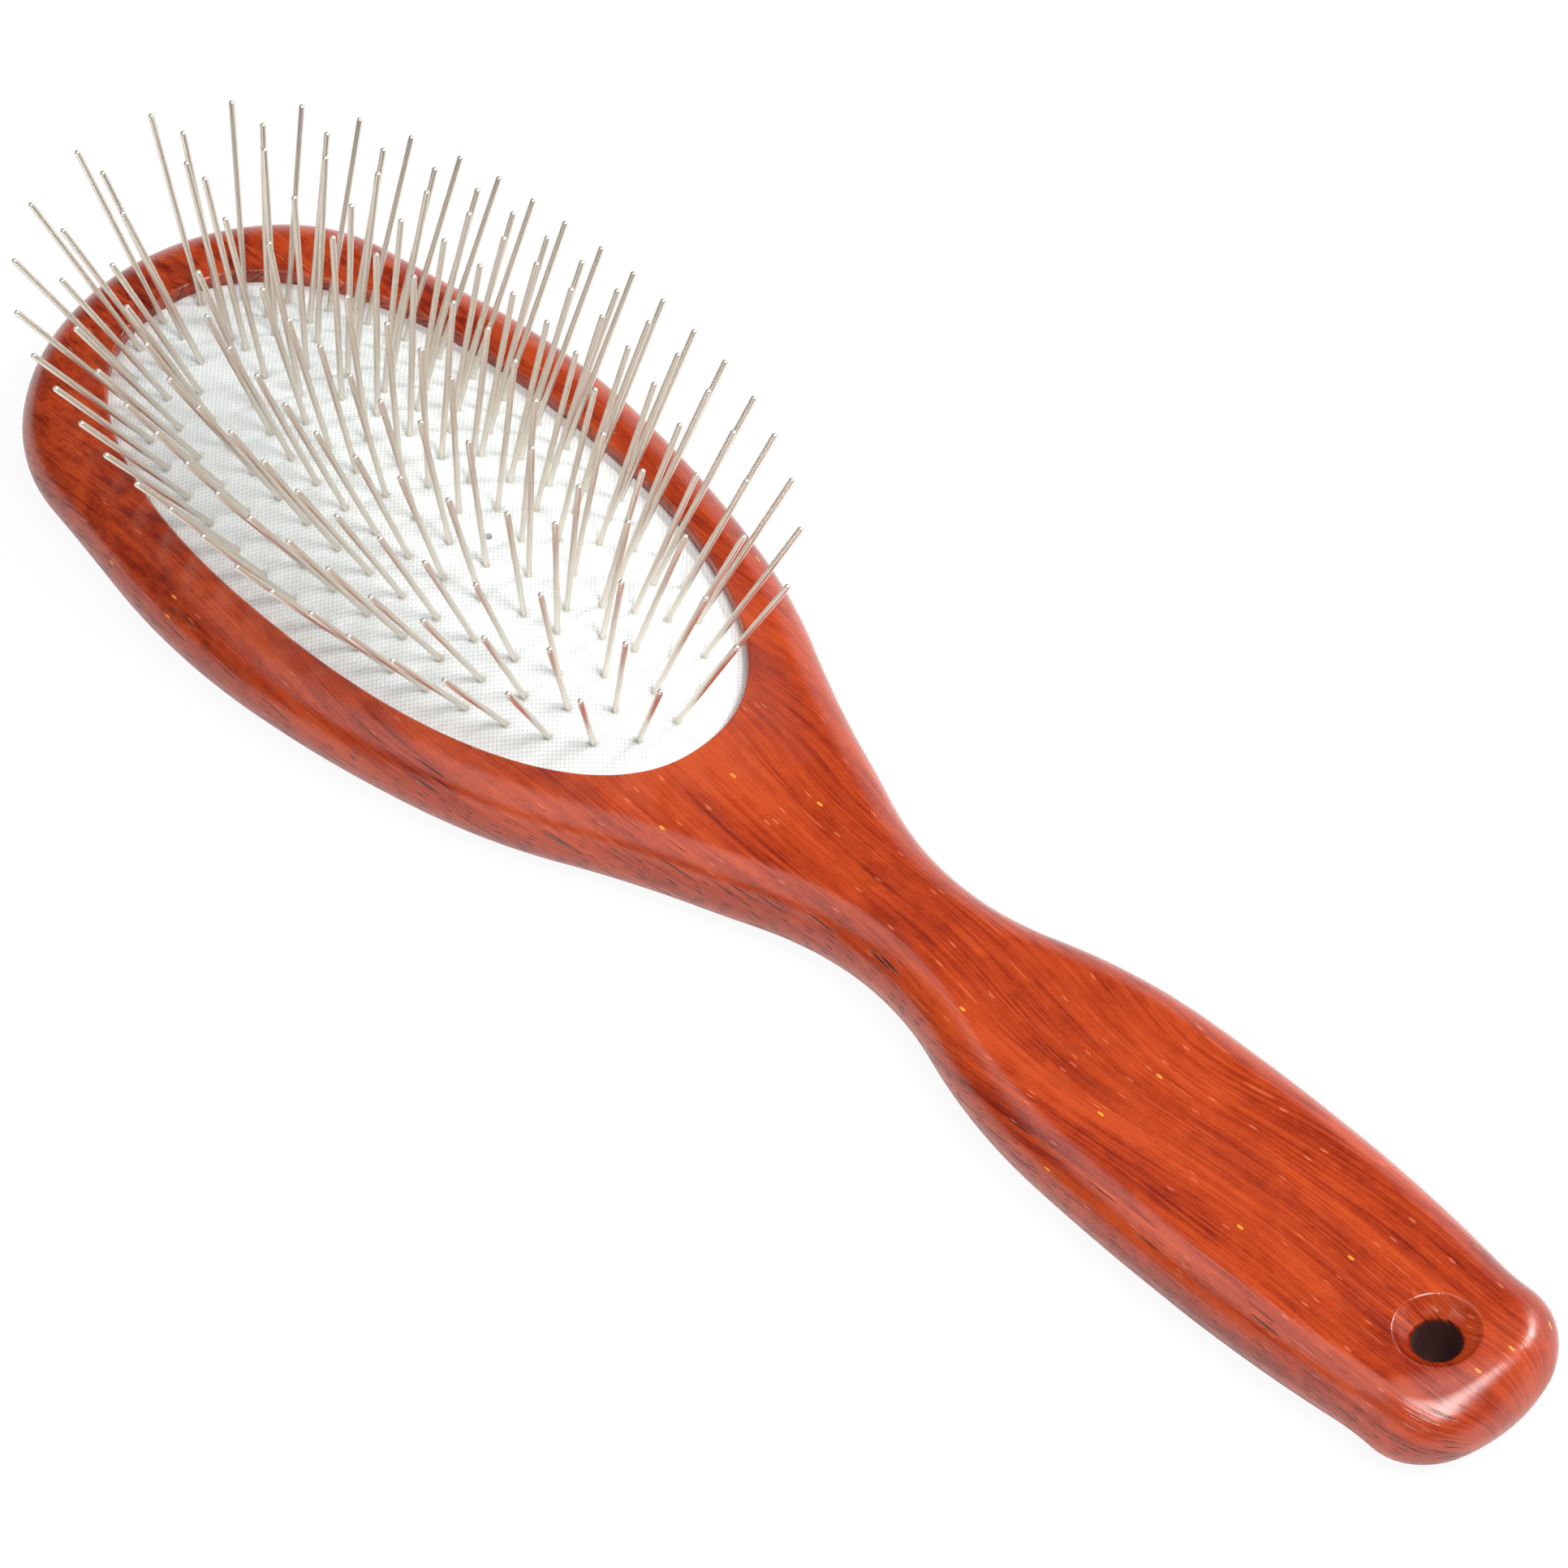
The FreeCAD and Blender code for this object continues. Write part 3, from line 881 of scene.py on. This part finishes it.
def pin_steel(sizes):
    """Polished wire with faint drawing marks down its length."""
    recipe = Recipe(bpy.data.materials.new("pin_steel"))
    unwrapped = recipe.node("ShaderNodeTexCoord", {}, {}).outputs["UV"]
    marks = recipe.noise(unwrapped, per_mm=(16.0, 0.0, 0.0), detail=1.0)
    return recipe.surface(
        {
            "Base Color": recipe.blend(marks.step(0.35, 0.65) * 0.4, sizes.steel, DRAWN_STEEL),
            "Metallic": 1.0,
            "Roughness": 0.24 + marks * 0.12,
        }
    )


def pale_floor(colour):
    """A pale floor that looks white straight on and keeps the brush's soft shadow."""
    recipe = Recipe(bpy.data.materials.new("pale_floor"))
    camera = recipe.output("ShaderNodeLightPath", "Is Camera Ray")
    glossy = recipe.output("ShaderNodeLightPath", "Is Glossy Ray")
    through = recipe.output("ShaderNodeLightPath", "Is Transmission Ray")
    matt = recipe.node("ShaderNodeBsdfDiffuse", {}, {"Color": colour})
    white = recipe.node("ShaderNodeEmission", {}, {"Color": (1, 1, 1), "Strength": 1.0})
    shown = (camera + through) * FLOOR_SEEN + glossy * FLOOR_MIRRORED
    mixed = recipe.node(
        "ShaderNodeMixShader", {}, {0: shown, 1: matt.outputs[0], 2: white.outputs[0]}
    )
    recipe.node("ShaderNodeOutputMaterial", {}, {"Surface": mixed.outputs[0]})
    return recipe.owner


# Wooden body


def opening_cutter(sizes, cushion):
    """The recess and its undercut, with the rim's rounding at the top."""
    half_length = sizes.opening_length / 2
    half_width = sizes.opening_width / 2
    top = WOOD_HIGH.z
    low = CUSHION_LOW.z
    high = low + cushion.thickness + cushion.clearance
    levels = [
        (0.0, top - sizes.recess_depth),
        (0.0, low),
        (sizes.groove_reach, low),
        (sizes.groove_reach, high),
        (0.0, high),
    ]
    for step in range(RIM_ROUNDING_STEPS + 1):
        angle = math.pi / 2 * step / RIM_ROUNDING_STEPS
        grown = sizes.opening_edge * (1 - math.cos(angle))
        levels.append((grown, top - sizes.opening_edge * (1 - math.sin(angle))))
    levels.append((sizes.opening_edge, top + sizes.opening_edge))
    outline = [oval_at(turn) for turn in circle_turns(OPENING_POINTS)]
    scaled = [(half_length + grown, half_width + grown, z) for grown, z in levels]
    return raise_stack("opening_cutter", outline, scaled)


def hanging_cutter(sizes):
    """The bore, opened to a shallow bowl at the top face."""
    outline = [(math.cos(turn), math.sin(turn)) for turn in circle_turns(HOLE_POINTS)]
    bore = sizes.hanging_bore / 2
    narrow = bore - sizes.hanging_taper / 2
    levels = [(narrow, narrow, -TOOL_MARGIN)]
    for beyond, depth in reversed(HOLE_MOUTH):
        radius = bore + beyond * MM
        levels.append((radius, radius, WOOD_HIGH.z - depth * MM))
    levels.append((radius, radius, WOOD_HIGH.z + TOOL_MARGIN))
    cutter = raise_stack("hanging_cutter", outline, levels)
    cutter.data.transform(Matrix.Translation((sizes.hanging_along, 0, 0)))
    return cutter


class PINBRUSH_OT_wooden_body(bpy.types.Operator):
    """Head, neck and handle in one piece of stained wood"""

    bl_idname = "pin_brush.wooden_body"
    bl_label = "Wooden body"

    def execute(self, context):
        sizes = context.scene.brush_wood
        top = WOOD_HIGH.z
        body = raise_stack("body", body_outline(), [(1, 1, 0.0), (1, 1, top)])
        bevel_edges(body, lambda co: co.z > top - TINY, sizes.front_rounding, FRONT_ROUNDING_STEPS)
        bevel_edges(body, lambda co: co.z < TINY, sizes.back_rounding, BACK_ROUNDING_STEPS)
        cut_away(body, opening_cutter(sizes, context.scene.brush_cushion))
        cut_away(body, hanging_cutter(sizes))
        shade_smooth(body, WOOD_SMOOTH_ANGLE)
        apply_modifier(body, "WEIGHTED_NORMAL", keep_sharp=True)
        finish_piece(body, stained_wood(sizes), "stained_wood", "wooden_body")
        return {"FINISHED"}


# Pins


def pin_axis(points):
    """The middles of the two end faces of one pin."""
    cloud = numpy.array(points)
    heading = numpy.linalg.svd(cloud - cloud.mean(axis=0))[2][0]
    if heading[2] < 0:
        heading = -heading
    reach = cloud @ heading
    foot = cloud[reach < reach.min() + END_FACE].mean(axis=0)
    tip = cloud[reach > reach.max() - END_FACE].mean(axis=0)
    return Vector(foot), Vector(tip)


def pin_axes(node):
    """Foot and tip of every pin of a CAD node, in order along the brush."""
    mesh = bmesh.new()
    mesh.from_mesh(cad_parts[node].data)
    bmesh.ops.remove_doubles(mesh, verts=mesh.verts, dist=WELD)
    axes = []
    reached = set()
    for first in mesh.verts:
        corners = []
        front = [first]
        while front:
            vertex = front.pop()
            if vertex in reached:
                continue
            reached.add(vertex)
            corners.append(vertex.co.copy())
            front += [edge.other_vert(vertex) for edge in vertex.link_edges]
        if corners:
            axes.append(pin_axis(corners))
    mesh.free()
    return sorted(axes, key=lambda axis: (round(axis[0].x, PIN_DIGITS), round(axis[0].y, PIN_DIGITS)))


def model_pin(sizes, length):
    """One pin standing on its head at the origin."""
    deselect_all()
    bpy.ops.mesh.primitive_cylinder_add(
        vertices=sizes.sides,
        radius=sizes.wire_diameter / 2,
        depth=length - sizes.head_length,
        end_fill_type="NGON",
        location=(0, 0, (length + sizes.head_length) / 2),
    )
    pin = bpy.context.object
    pin.data.transform(pin.matrix_world)
    pin.matrix_world = Matrix.Identity(4)
    spread = sizes.head_diameter / sizes.wire_diameter
    bpy.ops.object.mode_set(mode="EDIT")
    select_where(pin, "FACE", lambda co: co.z < sizes.head_length + TINY)
    bpy.ops.mesh.extrude_region_move(TRANSFORM_OT_translate={"value": (0, 0, -TINY)})
    bpy.ops.transform.resize(value=(spread, spread, 1), center_override=(0, 0, 0))
    bpy.ops.mesh.extrude_region_move(
        TRANSFORM_OT_translate={"value": (0, 0, TINY - sizes.head_length)}
    )
    bpy.ops.object.mode_set(mode="OBJECT")
    bevel_edges(pin, lambda co: co.z > length - TINY, sizes.tip_rounding, TIP_ROUNDING_STEPS)
    return pin


def copy_pin(pattern, name, foot, tip):
    """A pin with its own mesh, standing at its foot and pointing at its tip."""
    pin = bpy.data.objects.new(name, pattern.data.copy())
    bpy.context.scene.collection.objects.link(pin)
    turn = Vector((0, 0, 1)).rotation_difference(tip - foot).to_matrix().to_4x4()
    pin.data.transform(Matrix.Translation(foot) @ turn)
    return pin


class PINBRUSH_OT_pins(bpy.types.Operator):
    """Rings of straight wire pins with rounded ends"""

    bl_idname = "pin_brush.pins"
    bl_label = "Pins"

    def execute(self, context):
        sizes = context.scene.brush_pins
        material = pin_steel(sizes)
        first_foot, first_tip = pin_axes(PIN_NODES[0])[0]
        pattern = model_pin(sizes, (first_tip - first_foot).length)
        for node in PIN_NODES:
            pins = [copy_pin(pattern, f"{node}_one", foot, tip) for foot, tip in pin_axes(node)]
            group = pins[0]
            make_active(group)
            for pin in pins:
                pin.select_set(True)
            bpy.ops.object.join()
            group.name = node.replace("pins_", "") + "_pins"
            shade_smooth(group, FINE_SMOOTH_ANGLE)
            finish_piece(group, material, "pin_steel", node)
        bpy.data.objects.remove(pattern)
        return {"FINISHED"}


# Cushion


def cloth_height(sizes, share):
    """Height of the cloth at a share of the way from the dome's top to its rim."""
    rim = WOOD_HIGH.z - sizes.rim_drop
    return rim + sizes.dome_rise * max(1 - share ** 2, 0) ** sizes.dome_power


def cloth_sheet(sizes, wood):
    """The cloth's face: a grid drawn into the oval, domed, flat where the wood holds its rim."""
    half_length = wood.opening_length / 2
    half_width = wood.opening_width / 2
    lip_share = sizes.lip_reach / half_width
    deselect_all()
    bpy.ops.mesh.primitive_grid_add(
        x_subdivisions=CLOTH_CELLS_ALONG,
        y_subdivisions=CLOTH_CELLS_ACROSS,
        size=2,
    )
    sheet = bpy.context.object
    for vertex in sheet.data.vertices:
        x, y, _ = vertex.co
        u = x * math.sqrt(1 - y * y / 2)
        v = y * math.sqrt(1 - x * x / 2)
        share = math.hypot(u, v) * (1 + lip_share)
        along, across = oval_at(math.atan2(v, u))
        inside = min(share, 1)
        beyond = (share - inside) * half_width
        vertex.co = (
            along * (inside * half_length + beyond),
            across * (inside * half_width + beyond),
            cloth_height(sizes, share),
        )
    return sheet


def where_pins_leave(sizes, pins):
    """Where each pin comes out of the cloth."""
    buried = pins.head_length + pins.head_clearance + sizes.thickness
    places = []
    for node in PIN_NODES:
        for foot, tip in pin_axes(node):
            places.append(foot + (tip - foot).normalized() * buried)
    return places


def dimple_cloth(piece, sizes, places):
    """Sink the cloth a little round every pin, and store the painted shade round its foot."""
    vertices = piece.data.vertices
    finder = KDTree(len(vertices))
    for vertex in vertices:
        finder.insert((vertex.co.x, vertex.co.y, 0), vertex.index)
    finder.balance()
    shades = [0.0] * len(vertices)
    sinks = [0.0] * len(vertices)
    end = DIMPLE_END * sizes.dimple_reach
    for place in places:
        for _, index, distance in finder.find_range((place.x, place.y, 0), end):
            sinks[index] = max(sinks[index], math.exp(-(distance / sizes.dimple_reach) ** 2))
            beyond = (distance - sizes.shade_start) / sizes.shade_width
            shades[index] = max(shades[index], 1 - min(max(beyond, 0), 1))
    for vertex, sink in zip(vertices, sinks):
        vertex.co.z -= sizes.dimple_depth * sink
    attribute = piece.data.attributes.new("pin_shade", "FLOAT", "POINT")
    attribute.data.foreach_set("value", shades)


def vent_cutter(sizes):
    """The air hole, straight down through the cushion."""
    deselect_all()
    bpy.ops.mesh.primitive_cylinder_add(
        vertices=VENT_POINTS,
        radius=sizes.vent_bore / 2,
        depth=2 * CUSHION_HIGH.z,
        location=(sizes.vent_along, 0, CUSHION_HIGH.z),
    )
    return bpy.context.object


class PINBRUSH_OT_cushion(bpy.types.Operator):
    """Domed cushion of cloth-faced rubber"""

    bl_idname = "pin_brush.cushion"
    bl_label = "Cushion"

    def execute(self, context):
        sizes = context.scene.brush_cushion
        cushion = cloth_sheet(sizes, context.scene.brush_wood)
        cushion.name = "domed_cushion"
        dimple_cloth(cushion, sizes, where_pins_leave(sizes, context.scene.brush_pins))
        apply_modifier(cushion, "SOLIDIFY", thickness=sizes.thickness, offset=-1.0)
        cut_away(cushion, vent_cutter(sizes))
        shade_smooth(cushion, FINE_SMOOTH_ANGLE)
        finish_piece(cushion, woven_cloth(sizes), "cushion_rubber", "cushion")
        return {"FINISHED"}


# Stage


def add_floor(colour):
    """A wide floor under the brush."""
    deselect_all()
    bpy.ops.mesh.primitive_plane_add(size=FLOOR_SIDE, location=(0, 0, 0))
    floor = bpy.context.object
    floor.name = "floor"
    floor.data.materials.append(pale_floor(colour))


def add_lamp(name, place, aim, wide, tall, radiance):
    """A soft box at a place, facing a point: a mirror shows it as bright as its radiance."""
    deselect_all()
    place = Vector(place)
    bpy.ops.object.light_add(type="AREA", location=place)
    lamp = bpy.context.object
    lamp.name = name
    lamp.data.shape = "RECTANGLE"
    lamp.data.size = wide
    lamp.data.size_y = tall
    lamp.data.energy = radiance * math.pi * wide * tall
    lamp.rotation_euler = (place - Vector(aim)).to_track_quat("Z", "Y").to_euler()


def soft_world():
    """White to the camera. For the light: dim, but bright low down behind the brush."""
    recipe = Recipe(bpy.data.worlds.new("soft_world"))
    direction = recipe.node("ShaderNodeTexCoord", {}, {}).outputs["Generated"]
    _, behind, upward = recipe.parts(direction)
    level = WORLD_DIM + (behind - upward).step(*WORLD_RISE) * (WORLD_BRIGHT - WORLD_DIM)
    camera = recipe.output("ShaderNodeLightPath", "Is Camera Ray")
    strength = level + camera * (1 - level)
    background = recipe.node("ShaderNodeBackground", {}, {"Color": (1, 1, 1), "Strength": strength})
    recipe.node("ShaderNodeOutputWorld", {}, {"Surface": background.outputs[0]})
    return recipe.owner


def camera_axes(settings):
    """Which way the camera's right, up and back point."""
    azimuth = settings.azimuth
    elevation = settings.elevation
    roll = settings.roll
    back = Vector(
        (
            math.sin(azimuth) * math.cos(elevation),
            -math.cos(azimuth) * math.cos(elevation),
            math.sin(elevation),
        )
    )
    level = Vector((math.cos(azimuth), math.sin(azimuth), 0))
    upright = back.cross(level)
    right = level * math.cos(roll) + upright * math.sin(roll)
    up = upright * math.cos(roll) - level * math.sin(roll)
    return right, up, back


def add_camera(settings):
    """The photo's camera: its axis meets the picture a little beside the middle."""
    right, up, back = camera_axes(settings)
    target = (right * AIM_RIGHT + up * AIM_UP) * MM + Vector((0, 0, WOOD_HIGH.z))
    deselect_all()
    bpy.ops.object.camera_add()
    camera = bpy.context.object
    turn = Matrix((right, up, back)).transposed().to_4x4()
    camera.matrix_world = Matrix.Translation(target + back * settings.distance) @ turn
    camera.data.sensor_width = SENSOR
    camera.data.lens = LENS_PIXELS / PICTURE * SENSOR
    camera.data.shift_x = 0.5 - AXIS_PIXEL / PICTURE
    camera.data.clip_end = FAR_CLIP
    bpy.context.scene.camera = camera


class PINBRUSH_OT_stage(bpy.types.Operator):
    """Pale floor, soft lamps and the camera"""

    bl_idname = "pin_brush.stage"
    bl_label = "Stage"

    def execute(self, context):
        settings = context.scene.brush_stage
        add_floor(settings.floor_colour)
        for lamp in LAMPS:
            add_lamp(*lamp)
        context.scene.world = soft_world()
        add_camera(settings)
        context.scene.view_settings.view_transform = "Standard"
        return {"FINISHED"}


class PINBRUSH_PT_panel(bpy.types.Panel):
    """Sizes, colours and steps of the pin brush"""

    bl_label = "Pin brush"
    bl_idname = "PINBRUSH_PT_panel"
    bl_space_type = "VIEW_3D"
    bl_region_type = "UI"
    bl_category = "Pin brush"

    def draw(self, context):
        for group, names in (
            ("brush_wood", ("front_rounding", "back_rounding", "light_stain", "mid_stain", "dark_stain")),
            ("brush_cushion", ("dome_rise", "dimple_depth", "thread_pitch", "cloth")),
            ("brush_pins", ("wire_diameter", "tip_rounding", "sides", "steel")),
            ("brush_stage", ("floor_colour", "azimuth", "elevation", "distance")),
        ):
            box = self.layout.box()
            for name in names:
                box.prop(getattr(context.scene, group), name)
        for operator in OPERATORS:
            self.layout.operator(operator.bl_idname)


GROUPS = {
    "brush_wood": WoodSizes,
    "brush_cushion": CushionSizes,
    "brush_pins": PinSizes,
    "brush_stage": StageSettings,
}
OPERATORS = (
    PINBRUSH_OT_stage,
    PINBRUSH_OT_wooden_body,
    PINBRUSH_OT_cushion,
    PINBRUSH_OT_pins,
)


def register():
    for name, group in GROUPS.items():
        bpy.utils.register_class(group)
        setattr(bpy.types.Scene, name, PointerProperty(type=group))
    for operator in OPERATORS:
        bpy.utils.register_class(operator)
    bpy.utils.register_class(PINBRUSH_PT_panel)


def unregister():
    bpy.utils.unregister_class(PINBRUSH_PT_panel)
    for operator in reversed(OPERATORS):
        bpy.utils.unregister_class(operator)
    for name, group in GROUPS.items():
        delattr(bpy.types.Scene, name)
        bpy.utils.unregister_class(group)


def main():
    register()
    bpy.ops.pin_brush.stage()
    bpy.ops.pin_brush.wooden_body()
    bpy.ops.pin_brush.cushion()
    bpy.ops.pin_brush.pins()
    bpy.context.view_layer.update()


if __name__ == "__main__":
    main()
